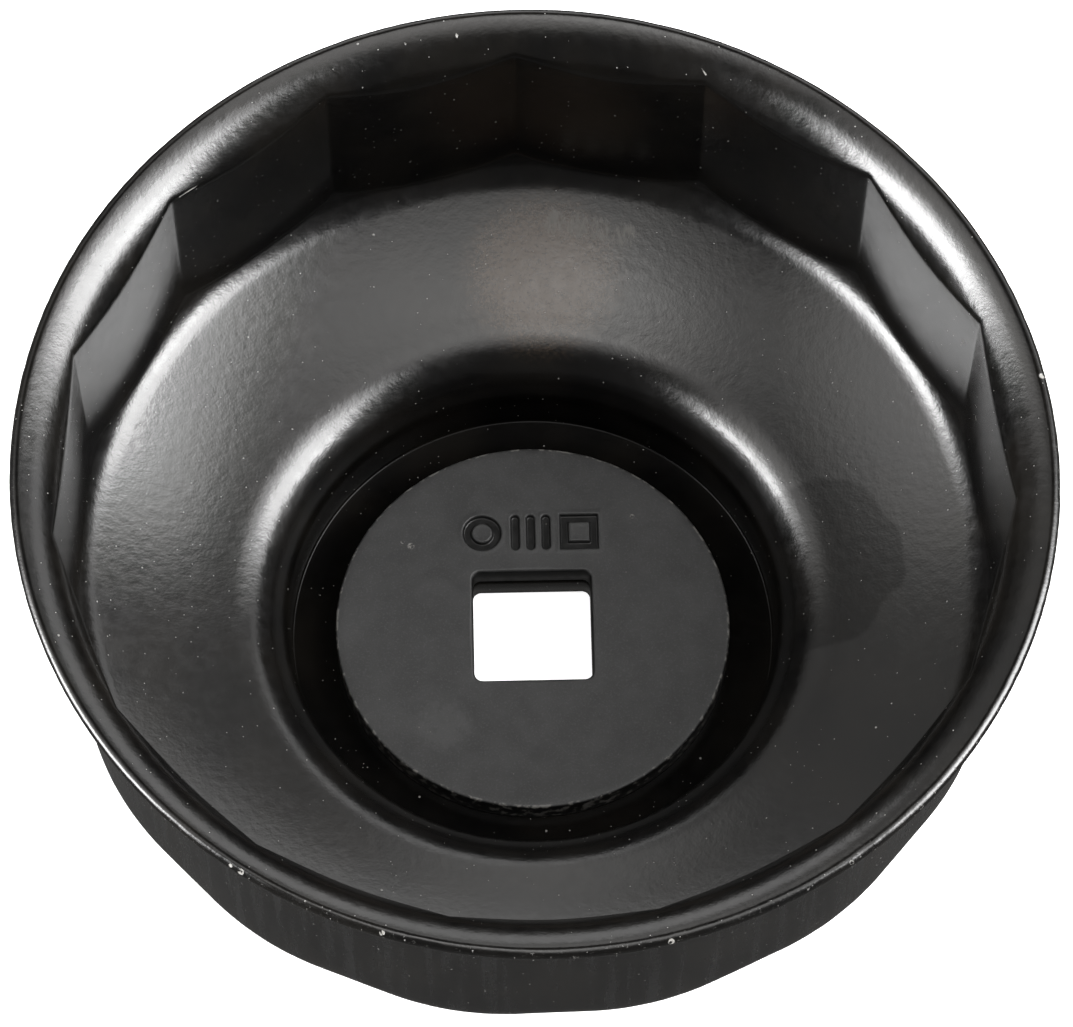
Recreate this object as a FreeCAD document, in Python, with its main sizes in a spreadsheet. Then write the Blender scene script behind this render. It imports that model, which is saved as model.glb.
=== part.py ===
"""Cap-style oil filter wrench: a drawn steel cup with inside flats and a welded-in drive plate.

The cup stands on the back of its well, mouth up. The origin is the centre of that back face,
+Z points out of the mouth, and the sides of the drive square face X and Y.
"""
import FreeCAD, Part
import math
import os
import Sketcher

# Driving sizes in millimetres (angles in degrees). Heights are measured from the back face.
SIZES = {
    "across_flats": 74.0,        # inside, flat to flat: the filter size
    "flute_count": 15,
    "flute_turn": 1.1,           # the flats aren't quite clocked to the drive square
    "sheet": 2.4,                # thickness of the well and the shoulder
    "wall": 1.35,                # thickness of the wall, which is drawn thinner
    "wall_corner": 25.0,         # outside rounding between two flats
    "base_corner": 4.0,          # outside rounding between wall and shoulder
    "base_height": 11.9,         # underside of that rounding
    "well_radius": 20.2,
    "well_corner": 0.4,          # inside rounding between the well's floor and side
    "well_edge_height": 9.45,    # where the well's side and the shoulder would meet
    "well_edge": 5.4,            # rounding there
    "shoulder_radius": 38.0,     # just outside the corners between the flats
    "shoulder_height": 16.1,     # where the shoulder would meet that radius
    "shoulder_corner": 4.8,      # inside rounding between shoulder and flats
    "boss_taper": 0.6,           # how much wider the boss is at the shoulder than at its foot
    "boss_corner": 3.4,          # outside rounding at the boss's foot
    "boss_root": 2.6,            # outside rounding where the boss meets the shoulder
    "boss_root_height": 8.1,     # where the boss's side and the shoulder's underside would meet
    "rim_radius": 41.4,
    "rim_height": 35.8,
    "rim_underside": 34.45,
    "rim_edge": 0.5,             # rounding of the trimmed edge
    "lip_overlap": 0.05,         # how far the lip's ring reaches into the wall
    "flare_height": 33.2,        # where the outside of the wall starts to flare, before rounding
    "flare": 4.0,                # outside rounding of the flare
    "mouth_start": 36.8,         # radius of the bell mouth's foot, just inside the flats
    "mouth_height": 34.2,        # where that foot and the mouth's cone would meet
    "mouth_rise": 1.9,           # how much the cone rises to the rim
    "mouth": 5.4,                # rounding of the bell mouth
    "plate_radius": 16.5,
    "plate_thickness": 2.1,
    "plate_edge": 0.25,
    "drive_square": 9.9,         # for a 3/8 inch drive
    "drive_corner": 0.7,
    "drive_break": 0.25,         # broken edge round the drive square
    "weld_count": 4,
    "weld_circle": 11.2,         # radius of the circle that the welds lie on
    "weld_radius": 2.2,
    "weld_depth": 0.7,           # how far each weld reaches into the plate and into the floor
    "mark_distance": 8.6,        # from the drive's centre to the sign's centre
    "mark_spacing": 4.1,         # from the sign's centre to its ring and to its square
    "mark_size": 3.2,            # height of the ring, the ticks and the square
    "mark_stroke": 0.7,
    "mark_tick_pitch": 1.3,
    "mark_depth": 0.35,
}
TICK_STEPS = (-1, 0, 1)
FULL_TURN = 360
CLEAR = 2.0                      # how far a cutting shape runs past what it cuts
TOUCH = 1e-6                     # lengths under this count as none
PARTS_FOLDER = "parts"

doc = FreeCAD.newDocument("filter_wrench")


def make_sheet():
    """Put every driving size in the spreadsheet under its own alias."""
    sheet = doc.addObject("Spreadsheet::Sheet", "sizes")
    for row, (alias, value) in enumerate(SIZES.items(), start=1):
        cell = f"B{row}"
        sheet.set(f"A{row}", alias)
        sheet.set(cell, str(value))
        sheet.setAlias(cell, alias)
    doc.recompute()
    return sheet


def in_sheet(formula):
    """Turn a formula of aliases into one that any object of the document understands."""
    words = []
    for word in formula.split():
        words.append(f"sizes.{word}" if word in SIZES else word)
    return " ".join(words)


def value_of(formula):
    """The present value of a formula of aliases."""
    return float(sizes.evalExpression(in_sheet(formula)))


def origin_feature(body, role):
    """One of a body's own origin planes or axes."""
    return next(feature for feature in body.Origin.OriginFeatures if feature.Role == role)


def add_body(label):
    body = doc.addObject("PartDesign::Body", label)
    body.Label = label
    return body


def add_sketch(body, name, role, height=None):
    """A sketch on one of the body's origin planes, raised by a formula if one is given."""
    sketch = body.newObject("Sketcher::SketchObject", name)
    sketch.AttachmentSupport = (origin_feature(body, role), [""])
    sketch.MapMode = "FlatFace"
    if height:
        sketch.setExpression("AttachmentOffset.Base.z", in_sheet(height))
    return sketch


def add_dimension(sketch, kind, formula, *geometry):
    """A sketch dimension bound to the spreadsheet."""
    index = sketch.addConstraint(Sketcher.Constraint(kind, *geometry, value_of(formula)))
    sketch.setExpression(f"Constraints[{index}]", in_sheet(formula))


def rounding_points(before, corner, after, radius):
    """Ends and middle of the arc that rounds a corner."""
    to_before = (before - corner).normalize()
    to_after = (after - corner).normalize()
    half_angle = to_before.getAngle(to_after) / 2
    tangent_length = radius / math.tan(half_angle)
    bisector = (to_before + to_after).normalize()
    centre = corner + bisector * (radius / math.sin(half_angle))
    return corner + to_before * tangent_length, centre - bisector * radius, corner + to_after * tangent_length


def add_outline(sketch, corners):
    """A closed outline of straight sides. Each corner is (x formula, y formula, rounding or None)."""
    places = [FreeCAD.Vector(value_of(x), value_of(y), 0) for x, y, _ in corners]
    count = len(corners)
    starts, ends, arcs = [], [], []
    for index, (place, (_, _, rounding)) in enumerate(zip(places, corners)):
        if rounding is None:
            starts.append(place)
            ends.append(place)
            arcs.append(None)
            continue
        first, middle, last = rounding_points(
            places[index - 1], place, places[(index + 1) % count], value_of(rounding))
        ends.append(first)
        starts.append(last)
        arcs.append(sketch.addGeometry(Part.Arc(first, middle, last), False))
    sides = [sketch.addGeometry(Part.LineSegment(starts[index], ends[(index + 1) % count]), False)
             for index in range(count)]
    for index, (x, y, rounding) in enumerate(corners):
        before, after, arc = sides[index - 1], sides[index], arcs[index]
        if arc is None:
            sketch.addConstraint(Sketcher.Constraint("Coincident", before, 2, after, 1))
            anchor = (after, 1)
        else:
            join_arc(sketch, before, arc, after)
            add_dimension(sketch, "Radius", rounding, arc)
            point = sketch.addGeometry(Part.Point(places[index]), True)
            sketch.addConstraint(Sketcher.Constraint("PointOnObject", point, 1, before))
            sketch.addConstraint(Sketcher.Constraint("PointOnObject", point, 1, after))
            anchor = (point, 1)
        add_dimension(sketch, "DistanceX", x, -1, 1, *anchor)
        add_dimension(sketch, "DistanceY", y, -1, 1, *anchor)


def join_arc(sketch, before, arc, after):
    """Join a rounding to its two sides, whichever way round the arc runs."""
    start = sketch.getPoint(arc, 1)
    start_side = 1 if start.distanceToPoint(sketch.getPoint(before, 2)) < TOUCH else 2
    sketch.addConstraint(Sketcher.Constraint("Tangent", before, 2, arc, start_side))
    sketch.addConstraint(Sketcher.Constraint("Tangent", arc, 3 - start_side, after, 1))


def add_turned(body, kind, name, corners):
    """A profile turned about the body's axis, added or cut away."""
    sketch = add_sketch(body, f"{name}_profile", "XZ_Plane")
    add_outline(sketch, corners)
    feature = body.newObject(kind, name)
    feature.Profile = sketch
    feature.ReferenceAxis = (sketch, ["V_Axis"])
    feature.Angle = FULL_TURN
    return feature


def add_flats(body, kind, name, apothem, low, high):
    """A regular prism with one side per flat."""
    prism = body.newObject(kind, name)
    prism.AttachmentSupport = (origin_feature(body, "XY_Plane"), [""])
    prism.MapMode = "FlatFace"
    prism.setExpression("Polygon", in_sheet("flute_count"))
    prism.setExpression("Circumradius", in_sheet(f"( {apothem} ) / cos( 180deg / flute_count )"))
    prism.setExpression("Height", in_sheet(f"( {high} ) - ( {low} )"))
    prism.setExpression("AttachmentOffset.Base.z", in_sheet(low))
    prism.setExpression("AttachmentOffset.Rotation.Angle", in_sheet("90 + flute_turn"))
    return prism


def add_rounding(body, name, base, edges, radius):
    """Round the edges of a feature, bound to the spreadsheet."""
    feature = body.newObject("PartDesign::Fillet", name)
    feature.Base = (base, edges)
    feature.setExpression("Radius", in_sheet(radius))
    body.Tip = feature
    return feature


def edges_where(shape, test):
    return [f"Edge{index}" for index, edge in enumerate(shape.Edges, start=1) if test(edge)]


def is_upright(edge):
    box = edge.BoundBox
    return box.ZLength > CLEAR and box.XLength < TOUCH and box.YLength < TOUCH


def lies_at(edge, height):
    box = edge.BoundBox
    return box.ZLength < TOUCH and abs(box.ZMin - height) < TOUCH


def square_corners(size, x="0", y="0", rounding=None):
    """Corners of a square of the given size about a point, all by formula."""
    signs = ((-1, -1), (1, -1), (1, 1), (-1, 1))
    return [(f"{x} + {sign_x} * ( {size} ) / 2", f"{y} + {sign_y} * ( {size} ) / 2", rounding)
            for sign_x, sign_y in signs]


def cut_sketch(body, name, sketch, depth=None):
    """Pocket a sketch, to a depth or right through."""
    pocket = body.newObject("PartDesign::Pocket", name)
    pocket.Profile = sketch
    if depth:
        pocket.setExpression("Length", in_sheet(depth))
    else:
        pocket.Type = "ThroughAll"
        pocket.Midplane = True
    return pocket


def add_outer_wall(cup):
    """The fluted outside of the wall, with its upright corners and its base corner rounded."""
    block = add_flats(cup, "PartDesign::AdditivePrism", "wall_block",
                      "across_flats / 2 + wall", "base_height", "rim_underside")
    doc.recompute()
    corners = add_rounding(cup, "wall_corners", block, edges_where(block.Shape, is_upright), "wall_corner")
    doc.recompute()
    floor = value_of("base_height")
    edges = edges_where(corners.Shape, lambda edge: lies_at(edge, floor))
    add_rounding(cup, "base_rounding", corners, edges, "base_corner")
    doc.recompute()


def add_boss(cup):
    """The outside of the well and the underside of the shoulder, turned and joined to the wall."""
    add_turned(cup, "PartDesign::Revolution", "boss", [
        ("0", "0", None),
        ("well_radius + sheet - boss_taper", "0", "boss_corner"),
        ("well_radius + sheet", "boss_root_height", "boss_root"),
        ("across_flats / 2 + wall - base_corner", "base_height", None),
        ("across_flats / 2 + wall - base_corner", "shoulder_height", None),
        ("0", "shoulder_height", None),
    ])


def add_lip(cup):
    """The flared, trimmed lip, as a ring round the top of the wall."""
    add_turned(cup, "PartDesign::Revolution", "lip", [
        ("mouth_start - wall", "shoulder_height + base_corner", None),
        ("across_flats / 2 + wall - lip_overlap", "shoulder_height + base_corner", None),
        ("across_flats / 2 + wall - lip_overlap", "flare_height", "flare"),
        ("rim_radius", "rim_underside", "rim_edge"),
        ("rim_radius", "rim_height", None),
        ("mouth_start - wall", "rim_height", None),
    ])


def make_punch():
    """The space inside the cup: the shape of the punch that formed it."""
    punch = add_body("punch")
    add_flats(punch, "PartDesign::AdditivePrism", "flats", "across_flats / 2",
              "0", f"rim_height + {CLEAR}")
    add_turned(punch, "PartDesign::Groove", "nose", [
        ("0", f"0 - {CLEAR}", None),
        (f"rim_radius + {CLEAR}", f"0 - {CLEAR}", None),
        (f"rim_radius + {CLEAR}", "flare_height", None),
        ("shoulder_radius", "flare_height", None),
        ("shoulder_radius", "shoulder_height", "shoulder_corner"),
        ("well_radius", "well_edge_height", "well_edge"),
        ("well_radius", "sheet", "well_corner"),
        ("0", "sheet", None),
    ])
    add_turned(punch, "PartDesign::Revolution", "bell_mouth", [
        ("0", "shoulder_height + base_corner", None),
        ("mouth_start", "shoulder_height + base_corner", None),
        ("mouth_start", "mouth_height", "mouth"),
        (f"rim_radius + {CLEAR}",
         f"mouth_height + mouth_rise * ( rim_radius + {CLEAR} - mouth_start ) / ( rim_radius - mouth_start )",
         None),
        (f"rim_radius + {CLEAR}", f"rim_height + 2 * {CLEAR}", None),
        ("0", f"rim_height + 2 * {CLEAR}", None),
    ])
    doc.recompute()
    return punch


def add_weld_seats(body, low):
    """The round seats that the welds fill, in a ring about the drive."""
    seat = body.newObject("PartDesign::SubtractiveCylinder", f"{body.Label}_weld_seat")
    seat.AttachmentSupport = (origin_feature(body, "XY_Plane"), [""])
    seat.MapMode = "FlatFace"
    seat.setExpression("Radius", in_sheet("weld_radius"))
    seat.setExpression("Height", in_sheet("weld_depth"))
    seat.setExpression("AttachmentOffset.Base.x", in_sheet("weld_circle"))
    seat.setExpression("AttachmentOffset.Base.z", in_sheet(low))
    doc.recompute()
    ring = body.newObject("PartDesign::PolarPattern", f"{body.Label}_weld_seats")
    ring.Originals = [seat]
    ring.Axis = (origin_feature(body, "Z_Axis"), [""])
    ring.Angle = FULL_TURN
    ring.setExpression("Occurrences", in_sheet("weld_count"))
    body.Tip = ring
    doc.recompute()


def make_cup():
    """The drawn cup: its outside, less the punch, less the drive square and the weld seats."""
    cup = add_body("cup_shell")
    add_outer_wall(cup)
    add_boss(cup)
    add_lip(cup)
    doc.recompute()
    punch = make_punch()
    forming = cup.newObject("PartDesign::Boolean", "forming")
    forming.Type = "Cut"
    forming.setObjects([punch])
    doc.recompute()
    rim = value_of("rim_radius")
    top = value_of("rim_height")
    edges = edges_where(forming.Shape, lambda edge: lies_at(edge, top) and edge.BoundBox.XMax > rim - TOUCH)
    add_rounding(cup, "rim_rounding", forming, edges, "rim_edge")
    doc.recompute()
    drive = add_sketch(cup, "drive_hole_outline", "XY_Plane")
    add_outline(drive, square_corners("drive_square", rounding="drive_corner"))
    cut_sketch(cup, "drive_hole", drive)
    doc.recompute()
    add_weld_seats(cup, "sheet - weld_depth")
    return cup


def make_plate():
    """The drive plate: a punched disc with a square hole, a broken edge and a stamped sign."""
    plate = add_body("drive_plate")
    disc = plate.newObject("PartDesign::AdditiveCylinder", "disc")
    disc.AttachmentSupport = (origin_feature(plate, "XY_Plane"), [""])
    disc.MapMode = "FlatFace"
    disc.setExpression("Radius", in_sheet("plate_radius"))
    disc.setExpression("Height", in_sheet("plate_thickness"))
    doc.recompute()
    top = value_of("plate_thickness")
    add_rounding(plate, "disc_edge", disc,
                 edges_where(disc.Shape, lambda edge: lies_at(edge, top)), "plate_edge")
    doc.recompute()
    drive = add_sketch(plate, "square_outline", "XY_Plane")
    add_outline(drive, square_corners("drive_square", rounding="drive_corner"))
    square = cut_sketch(plate, "square", drive)
    doc.recompute()
    reach = value_of("drive_square")
    edges = edges_where(square.Shape, lambda edge: lies_at(edge, top) and edge.BoundBox.XMax < reach)
    broken = plate.newObject("PartDesign::Chamfer", "square_break")
    broken.Base = (square, edges)
    broken.setExpression("Size", in_sheet("drive_break"))
    plate.Tip = broken
    doc.recompute()
    add_weld_seats(plate, "0")
    add_sign(plate)
    plate.setExpression("Placement.Base.z", in_sheet("sheet"))
    return plate


def add_circle(sketch, radius, x, y):
    centre = FreeCAD.Vector(value_of(x), value_of(y), 0)
    circle = sketch.addGeometry(Part.Circle(centre, FreeCAD.Vector(0, 0, 1), value_of(radius)), False)
    add_dimension(sketch, "Radius", radius, circle)
    add_dimension(sketch, "DistanceX", x, -1, 1, circle, 3)
    add_dimension(sketch, "DistanceY", y, -1, 1, circle, 3)


def add_sign(plate):
    """The stamped sign: a ring for the filter, three ticks and a square for the drive."""
    sign = add_sketch(plate, "sign_outline", "XY_Plane", "plate_thickness")
    add_circle(sign, "mark_size / 2", "0 - mark_spacing", "mark_distance")
    add_circle(sign, "mark_size / 2 - mark_stroke", "0 - mark_spacing", "mark_distance")
    add_outline(sign, square_corners("mark_size", "mark_spacing", "mark_distance"))
    add_outline(sign, square_corners("mark_size - 2 * mark_stroke", "mark_spacing", "mark_distance"))
    for step in TICK_STEPS:
        left = f"{step} * mark_tick_pitch - mark_stroke / 2"
        right = f"{step} * mark_tick_pitch + mark_stroke / 2"
        low = "mark_distance - mark_size / 2"
        high = "mark_distance + mark_size / 2"
        add_outline(sign, [(left, low, None), (right, low, None), (right, high, None), (left, high, None)])
    cut_sketch(plate, "sign", sign, "mark_depth")
    doc.recompute()


def make_welds():
    """The weld nuggets between plate and floor, filling their seats in both."""
    nuggets = []
    for index in range(SIZES["weld_count"]):
        nugget = doc.addObject("Part::Cylinder", f"weld_{index + 1}")
        turn = f"{index} * 360deg / weld_count"
        nugget.setExpression("Radius", in_sheet("weld_radius"))
        nugget.setExpression("Height", in_sheet("2 * weld_depth"))
        nugget.setExpression("Placement.Base.x", in_sheet(f"weld_circle * cos( {turn} )"))
        nugget.setExpression("Placement.Base.y", in_sheet(f"weld_circle * sin( {turn} )"))
        nugget.setExpression("Placement.Base.z", in_sheet("sheet - weld_depth"))
        nuggets.append(nugget)
    welds = doc.addObject("Part::Compound", "projection_welds")
    welds.Label = "projection_welds"
    welds.Links = nuggets
    doc.recompute()
    return welds


def check_and_write(pieces):
    """Stop on any failed object or bad shape, then write one file per piece."""
    for item in doc.Objects:
        if "Invalid" in item.State or "Error" in item.State:
            raise RuntimeError(f"{item.Name} failed: {item.State}")
    os.makedirs(PARTS_FOLDER, exist_ok=True)
    for piece in pieces:
        shape = piece.Shape
        if shape.isNull() or not shape.isValid():
            raise RuntimeError(f"{piece.Label} has no valid shape")
        box = shape.BoundBox
        print(f"{piece.Label}: {len(shape.Solids)} solid(s), {shape.Volume:.0f} mm3, "
              f"Z {box.ZMin:.2f} to {box.ZMax:.2f}, X {box.XMin:.2f} to {box.XMax:.2f}")
    for piece in pieces:
        piece.Shape.exportStep(os.path.join(PARTS_FOLDER, f"{piece.Label}.step"))


sizes = make_sheet()
check_and_write([make_cup(), make_plate(), make_welds()])
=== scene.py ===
"""The looks of a cap-style oil filter wrench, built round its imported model.

The drawn cup and the drive plate are each one closed mesh of rings about the axis. Sizes are in
millimetres and angles in degrees where they are named, and become metres and radians when used.
"""
import math

import bpy
import numpy as np
from mathutils import Matrix, Vector, noise


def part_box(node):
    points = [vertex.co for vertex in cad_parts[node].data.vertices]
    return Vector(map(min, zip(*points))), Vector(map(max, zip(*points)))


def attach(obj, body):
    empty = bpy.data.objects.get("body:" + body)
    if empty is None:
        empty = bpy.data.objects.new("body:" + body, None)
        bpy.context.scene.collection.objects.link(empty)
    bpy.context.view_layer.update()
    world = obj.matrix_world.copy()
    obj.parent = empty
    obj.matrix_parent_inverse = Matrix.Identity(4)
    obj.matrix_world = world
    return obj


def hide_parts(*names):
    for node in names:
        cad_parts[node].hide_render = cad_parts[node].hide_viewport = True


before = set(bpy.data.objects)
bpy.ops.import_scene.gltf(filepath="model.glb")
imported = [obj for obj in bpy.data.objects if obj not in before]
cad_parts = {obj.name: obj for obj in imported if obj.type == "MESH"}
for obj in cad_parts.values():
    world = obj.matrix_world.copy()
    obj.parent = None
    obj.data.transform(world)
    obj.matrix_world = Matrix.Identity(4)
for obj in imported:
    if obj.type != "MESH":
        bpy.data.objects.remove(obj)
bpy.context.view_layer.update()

MM = 0.001
CUP_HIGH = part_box("cup_shell")[1] / MM
PLATE_LOW, PLATE_HIGH = (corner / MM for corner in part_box("drive_plate"))

# Sizes taken from the frame.
SKIN = 0.04                     # the coat's surface stays this far inside the frame's box
OUT_OF_ROUND = 0.18             # room for the trimmed rim's wandering edge
RIM_RADIUS = CUP_HIGH.x - OUT_OF_ROUND
RIM_TOP = CUP_HIGH.z - SKIN
FLOOR_TOP = PLATE_LOW.z         # the plate stands on the well's floor
PLATE_RADIUS = PLATE_HIGH.x
PLATE_TOP = PLATE_HIGH.z
SHEET = FLOOR_TOP               # thickness of the well and the shoulder

# The flats of the wall.
FLUTE_COUNT = 15
FLUTE_TURN = 91.1               # azimuth of one corner between two flats
INSIDE_APOTHEM = 37.0
INSIDE_CORNER = 0.9
WALL = 1.35                     # the wall is drawn thinner than the sheet
OUTSIDE_APOTHEM = INSIDE_APOTHEM + WALL
OUTSIDE_CORNER = 25.0
HALF_FLUTE = 180 / FLUTE_COUNT

# The inside of the cup, from the well up to the rim.
WELL_RADIUS = 20.2
WELL_CORNER = 0.2
WELL_EDGE = 6.0
WELL_EDGE_HEIGHT = 9.45
SHOULDER_SLOPE = 20.5
SHOULDER_DISH = 6.0             # how much less it slopes at its inner end, and more at its outer end
SHOULDER_CORNER = 4.8
SHOULDER_RADIUS = 38.0
MOUTH = 5.4                     # rounding of the bell mouth
MOUTH_CENTRE = 42.2             # its centre's distance from the axis
RIM_ROUND = 0.62
RIM_OVAL = 0.22                 # how much the rim is wider along its long way
RIM_OVAL_AZIMUTH = 119
RIM_SHIFT = 0.11                # how far its middle is off the axis
RIM_SHIFT_AZIMUTH = -37
CREASE = 0.45                   # reach of the soft crease where two formed faces meet

# The outside, from the rim down to the boss.
BASE_CORNER = 4.0
BASE_CENTRE_HEIGHT = 15.9
BOSS_RADIUS = WELL_RADIUS + SHEET
BOSS_ROOT = 2.6
BOSS_ROOT_HEIGHT = 8.1
BOSS_CORNER = 3.4

# The drive.
SQUARE = 9.9
SQUARE_CORNER = 0.7
SQUARE_BREAK = 0.22
PLATE_EDGE = 0.22

# The stamped sign on the plate: a ring, three ticks and a square.
MARK_DISTANCE = 8.6
MARK_SPACING = 4.1
MARK_SIZE = 3.2
MARK_STROKE = 0.7
MARK_PITCH = 1.3
MARK_DEPTH = 0.34

# The camera, relative to the middle of the plate's top face.
VIEW_AZIMUTH = -1.636
VIEW_ELEVATION = 64.344
VIEW_ROLL = 0.392
VIEW_DISTANCE = 423.84
VIEW_RIGHT = 0.25
VIEW_UP = 9.305
SENSOR = 36.0
LENS = 169.91

# The studio. Azimuths are from +X towards +Y.
SOFTBOXES = (                   # name, azimuth, elevation, width, height, radiance
    ("softbox_right", -6, 32, 34, 36, 8.5),
    ("softbox_right_spill", -4, 34, 48, 54, 3.5),
    ("softbox_right_core", -14, 26, 18, 16, 4.5),
    ("softbox_left", 191, 20, 30, 30, 11.5),
    ("softbox_left_spill", 190, 22, 46, 44, 3.5),
    ("softbox_left_core", 194, 21, 28, 16, 4.0),
    ("panel_behind", 66, 22, 84, 22, 1.3),
)
STUDIO_GLOWS = (                # azimuth, elevation, core, reach, radiance
    (90, 60, 36, 60, 0.33),
    (90, 43, 4, 15, 0.9),
    (-90, 80, 8, 28, 1.1),
    (-125, 81, 2, 11, 1.6),
    (176, 43, 8, 26, 1.3),
    (0, 66, 8, 28, 0.5),
)
STUDIO_DIM = 0.08               # radiance where there is no glow
STUDIO_TABLE = 0.05             # what the table adds below, as the object's side reflects it
STUDIO_GAP = (90, 65.5, 13, 23)   # azimuth, elevation, core and reach of the dark gap overhead
GAP_DEPTH = 0.98                # share of the light that the gap takes away
TABLE_BAND = (-0.15, 0.02)      # the table fades out between these heights of a direction
SKY_TINT = (1, 0.985, 0.965, 1)
BACKDROP = 0.95                 # radiance that the camera itself sees behind the object
LIGHT_DISTANCE = 900
TABLE_HALF = 2500
TABLE_DROP = 0.05               # the table lies this far under the object
TABLE_ROUGHNESS = 0.8
TABLE_GLOW = 0.85

# The drawn sheet's unevenness: how high its bumps are, how far apart, and their seed.
SLOW_RIPPLE = (0.009, 9.0, 0)
FINE_RIPPLE = (0.003, 3.2, 5)
DRAW_MARKS = (0.016, 1.6, 11)
RAGGED_TRIM = (0.03, 0.9, 23)
TRIM_SETBACK = 0.018
PLATE_WAVES = (0.006, 4.5, 31)
PLATE_BURRS = (0.02, 1.1, 37)
BURR_SETBACK = 0.01
DRAWN_OUT = 0.06                # width of a draw mark as a share of its length up the wall

# Radii and heights between which a kind of unevenness or a finish fades in.
BENCH_BAND = (0.5, 4.0)
WALL_BAND = (OUTSIDE_APOTHEM - 0.3, OUTSIDE_APOTHEM - 0.1)
WALL_TOP_BAND = (RIM_TOP - 4.0, RIM_TOP - 2.5)
TRIM_BAND = (RIM_RADIUS - 0.5, RIM_RADIUS - 0.2)
PLATE_EDGE_BAND = (PLATE_RADIUS - 0.4, PLATE_RADIUS - 0.1)
STREAK_BAND = (OUTSIDE_APOTHEM - 0.3, OUTSIDE_APOTHEM - 0.15)
STREAK_TOP_BAND = (32.0, 34.0)
WORN_BAND = (RIM_RADIUS - 0.45, RIM_RADIUS - 0.1)
WORN_LOW_BAND = (34.2, 34.8)
WELL_BAND = (WELL_RADIUS, WELL_RADIUS + 1.6)
INSIDE_BAND = (FLOOR_TOP - 0.5, FLOOR_TOP - 0.3)
BURR_BAND = (PLATE_RADIUS - 0.28, PLATE_RADIUS - 0.12)
# heights over which the painted shade of the stamped strokes and of the plate's side fades in
SUNK_BAND = (PLATE_TOP - 0.22, PLATE_TOP - 0.08)
SIDE_BAND = (PLATE_TOP - 0.55, PLATE_TOP - 0.35)

# Grains of the finishes: how far apart the bumps of a noise are, its detail and roughness, and the
# two values of the noise between which a mask goes from 0 to 1.
COAT_CLOUDS = (7.0, 4.0, 0.5, 0.35, 0.7)
COAT_SHEEN = (1.1, 4.0, 0.6, 0.3, 0.7)
WALL_STREAKS = (1.3, 4.0, 0.65, 0.42, 0.72)
SCRATCH_BREAKS = (0.5, 2.0, 0.5, 0.4, 0.55)
CHIP_EDGES = (0.35, 3.0, 0.5, 0.35, 0.5)
TRIM_WEAR = (0.4, 5.0, 0.75, 0.60, 0.78)
PLATE_MOTTLE = (2.8, 5.0, 0.6, 0.3, 0.75)
PLATE_GRAINS = (0.17, 2.0, 0.7, 0.5, 0.72)
PLATE_SHEEN = (0.8, 3.0, 0.5, 0.3, 0.7)
NICK_EDGES = (0.3, 3.0, 0.5, 0.42, 0.55)
BURR_BREAKS = (0.6, 4.0, 0.5, 0.5, 0.62)
WELD_CLOUDS = (1.2, 3.0, 0.5, 0.35, 0.65)
WELD_SHEEN = (0.5, 2.0, 0.5, 0.3, 0.7)

# Noises of the relief: how far apart the bumps are, then the detail and the roughness.
ORANGE_PEEL = (0.75, 1.0)
FINE_PEEL = (0.2, 1.0)
PLATE_TOOTH = (0.28, 3.0, 0.6)
WELD_RIPPLE = (0.4, 3.0)

# The finishes. Roughnesses are the least and the most, and colours are linear.
COAT_IOR = 1.7
COAT_ROUGHNESS = (0.19, 0.25)
COAT_SPECULAR = 0.5
STAIN_DULLING = 0.14            # how much less specular the coat is in the stain
WELL_GLOSS = 0.18               # share of the gloss left down in the well, cut as painted shade to darken it
PLATE_IOR = 1.5
PLATE_ROUGHNESS = (0.44, 0.56)
STROKE_SHADE = 0.9              # how dark the painted shade in the stamped strokes is, against 1 for the painted shade on the plate's side
SHADED_ROUGHNESS = -0.15        # what is added to the roughness there
WELD_ROUGHNESS = (0.4, 0.65)
DUST_KINDS = ((1.2, 0.08, 0.4), (3.4, 0.12, 0.3), (0.6, 0.055, 0.3))   # spacing, size, share
COAT_DARK = (0.0016, 0.0015, 0.0014, 1)
COAT_LIGHT = (0.0048, 0.0042, 0.0034, 1)
PLATE_DARK = (0.031, 0.031, 0.031, 1)
PLATE_LIGHT = (0.043, 0.043, 0.043, 1)
PLATE_SAND = (0.085, 0.085, 0.085, 1)
BARE_METAL = (0.30, 0.29, 0.27, 1)
WELD_BLUE = (0.20, 0.21, 0.26, 1)
WELD_STRAW = (0.34, 0.27, 0.18, 1)
TABLE_WHITE = (0.9, 0.9, 0.9, 1)

# What lies over the coat or the plate: how strongly it covers, and its colour.
STREAKS = (1.0, (0.0095, 0.0095, 0.0095, 1))
# painted reflection: a warm-brown glow painted on the far shoulder
PAINTED_REFLECTION = (0.6, (0.09, 0.062, 0.042, 1))
SCUFFED = (0.85, (0.11, 0.105, 0.095, 1))
DUST = (0.55, (0.42, 0.41, 0.39, 1))
WORN = (1.0, BARE_METAL)
SAND = (0.35, PLATE_SAND)
BLOTCH = (0.25, PLATE_SAND)
# painted shade: the plate's stamped strokes and its side are painted dark
PAINTED_SHADE = (1.0, COAT_DARK)
# bare metal of nicks and dust, and along the edge's burrs partly a painted glint
PLATE_WEAR_AND_GLINT = (0.7, BARE_METAL)

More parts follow.
